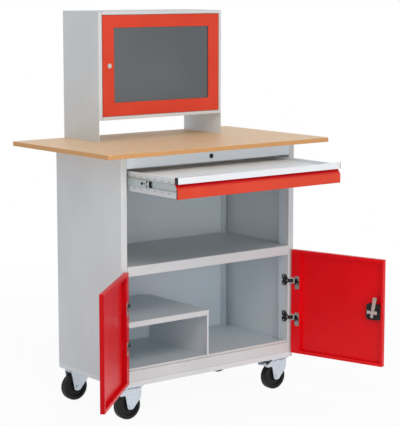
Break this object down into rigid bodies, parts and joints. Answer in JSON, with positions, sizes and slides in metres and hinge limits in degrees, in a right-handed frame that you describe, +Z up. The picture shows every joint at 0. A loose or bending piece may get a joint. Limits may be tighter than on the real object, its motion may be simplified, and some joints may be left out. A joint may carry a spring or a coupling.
{
  "type": "mobile computer cabinet",
  "caption": "Sheet-steel computer cabinet on swivel castors with a multiplex worktop, glazed monitor housing, pull-out keyboard drawer, open bay and hinged lower doors.",
  "frame": {"origin": "on the floor, under the middle of the carcass", "axes": "+Z up, +X to the right seen from the front, -Y to the front where the doors and the drawer open"},
  "size_m": [1.4908, 1.1599, 1.798],
  "materials": {
    "grey_paint": "smooth powder coat, light grey",
    "red_paint": "glossy powder coat, signal red",
    "multiplex": "oiled beech multiplex with a layered edge",
    "zinc": "galvanised sheet",
    "strip_metal": "satin anodised extrusion",
    "nickel": "nickel plated",
    "dark_hinge": "dark burnished",
    "black_plastic": "matt black",
    "black_rubber": "matt black",
    "wheel_black": "black solid tyre on a black rim",
    "pane": "clear pane"
  },
  "bodies": {
    "cabinet": {"base_frame": "grey_paint", "bottom_panel": "grey_paint", "side_panel_left": "grey_paint", "side_panel_right": "grey_paint", "back_panel": "grey_paint", "top_rail": "grey_paint", "worktop": "multiplex", "middle_shelf": "grey_paint", "half_shelf": "grey_paint", "partition": "grey_paint", "shelf_brackets": "grey_paint", "slide_outer_left": "zinc", "slide_outer_right": "zinc", "hinge_arms": "dark_hinge", "hinge_pins": "nickel", "rail_lock_body": "black_plastic", "castor_plates": "zinc", "castor_bolts": "zinc", "housing_side_left": "grey_paint", "housing_side_right": "grey_paint", "housing_roof": "grey_paint", "housing_floor": "grey_paint", "housing_back": "grey_paint", "monitor_hinge_pins": "zinc"},
    "drawer": {"drawer_tray": "grey_paint", "drawer_front": "red_paint", "drawer_handle": "strip_metal", "handle_end_caps": "black_plastic", "slide_inner_left": "zinc", "slide_inner_right": "zinc"},
    "slide_middles": {"slide_middle_left": "zinc", "slide_middle_right": "zinc", "slide_ball_cages": "black_plastic"},
    "left_door": {"left_door_panel": "red_paint", "left_hinge_plates": "nickel"},
    "right_door": {"right_door_panel": "red_paint", "right_hinge_plates": "nickel", "door_lock_case": "black_plastic"},
    "door_handle": {"door_lock_handle": "black_plastic", "door_lock_cam": "nickel"},
    "monitor_door": {"monitor_door_frame": "red_paint", "monitor_window": "pane", "window_gasket": "black_rubber", "monitor_lock_body": "nickel"},
    "monitor_lock": {"monitor_lock_cylinder": "nickel"},
    "rail_lock": {"rail_lock_cylinder": "black_plastic"},
    "swivel_fl": {"castor_fork_fl": "zinc", "castor_axle_fl": "zinc"},
    "wheel_fl": {"castor_wheel_fl": "wheel_black"},
    "brake_fl": {"castor_brake_fl": "zinc"},
    "swivel_fr": {"castor_fork_fr": "zinc", "castor_axle_fr": "zinc"},
    "wheel_fr": {"castor_wheel_fr": "wheel_black"},
    "brake_fr": {"castor_brake_fr": "zinc"},
    "swivel_rl": {"castor_fork_rl": "zinc", "castor_axle_rl": "zinc"},
    "wheel_rl": {"castor_wheel_rl": "wheel_black"},
    "swivel_rr": {"castor_fork_rr": "zinc", "castor_axle_rr": "zinc"},
    "wheel_rr": {"castor_wheel_rr": "wheel_black"}
  },
  "joints": [
    {"name": "drawer_slide", "type": "slide", "parent": "cabinet", "child": "drawer", "axis": [0, -1, 0], "range_m": [-0.355, 0.065]},
    {"name": "slide_middle_slide", "type": "slide", "parent": "cabinet", "child": "slide_middles", "axis": [0, -1, 0], "range_m": [-0.1775, 0.0325]},
    {"name": "left_door_hinge", "type": "hinge", "parent": "cabinet", "child": "left_door", "pos_m": [-0.492, -0.271, 0.44], "axis": [0, 0, -1], "range_deg": [-137.4, 27.6]},
    {"name": "right_door_hinge", "type": "hinge", "parent": "cabinet", "child": "right_door", "pos_m": [0.492, -0.271, 0.44], "axis": [0, 0, 1], "range_deg": [-105.6, 59.4]},
    {"name": "door_handle_turn", "type": "hinge", "parent": "right_door", "child": "door_handle", "pos_m": [0.61734, -0.69387, 0.429], "axis": [0.9632, 0.2689, 0], "range_deg": [-10, 80]},
    {"name": "monitor_door_hinge", "type": "hinge", "parent": "cabinet", "child": "monitor_door", "pos_m": [0.34, 0.128, 1.55125], "axis": [0, 0, 1], "range_deg": [0, 100]},
    {"name": "monitor_lock_turn", "type": "hinge", "parent": "monitor_door", "child": "monitor_lock", "pos_m": [-0.2915, 0.122, 1.55125], "axis": [0, 1, 0], "range_deg": [0, 90]},
    {"name": "rail_lock_turn", "type": "hinge", "parent": "cabinet", "child": "rail_lock", "pos_m": [0, -0.255, 1.153], "axis": [0, 1, 0], "range_deg": [0, 90]},
    {"name": "swivel_fl_turn", "type": "hinge", "parent": "cabinet", "child": "swivel_fl", "pos_m": [-0.43, -0.211, 0.135], "axis": [0, 0, 1], "continuous": true},
    {"name": "wheel_fl_roll", "type": "hinge", "parent": "swivel_fl", "child": "wheel_fl", "pos_m": [-0.446, -0.211, 0.0625], "axis": [0, 1, 0], "continuous": true},
    {"name": "brake_fl_press", "type": "hinge", "parent": "swivel_fl", "child": "brake_fl", "pos_m": [-0.49, -0.211, 0.121], "axis": [0, -1, 0], "range_deg": [0, 20]},
    {"name": "swivel_fr_turn", "type": "hinge", "parent": "cabinet", "child": "swivel_fr", "pos_m": [0.43, -0.211, 0.135], "axis": [0, 0, 1], "continuous": true},
    {"name": "wheel_fr_roll", "type": "hinge", "parent": "swivel_fr", "child": "wheel_fr", "pos_m": [0.414, -0.211, 0.0625], "axis": [0, 1, 0], "continuous": true},
    {"name": "brake_fr_press", "type": "hinge", "parent": "swivel_fr", "child": "brake_fr", "pos_m": [0.37, -0.211, 0.121], "axis": [0, -1, 0], "range_deg": [0, 20]},
    {"name": "swivel_rl_turn", "type": "hinge", "parent": "cabinet", "child": "swivel_rl", "pos_m": [-0.43, 0.211, 0.135], "axis": [0, 0, 1], "continuous": true},
    {"name": "wheel_rl_roll", "type": "hinge", "parent": "swivel_rl", "child": "wheel_rl", "pos_m": [-0.446, 0.211, 0.0625], "axis": [0, 1, 0], "continuous": true},
    {"name": "swivel_rr_turn", "type": "hinge", "parent": "cabinet", "child": "swivel_rr", "pos_m": [0.43, 0.211, 0.135], "axis": [0, 0, 1], "continuous": true},
    {"name": "wheel_rr_roll", "type": "hinge", "parent": "swivel_rr", "child": "wheel_rr", "pos_m": [0.414, 0.211, 0.0625], "axis": [0, 1, 0], "continuous": true}
  ],
  "couplings": [
    {"joint": "slide_middle_slide", "follows": "drawer_slide", "ratio": 0.5}
  ]
}
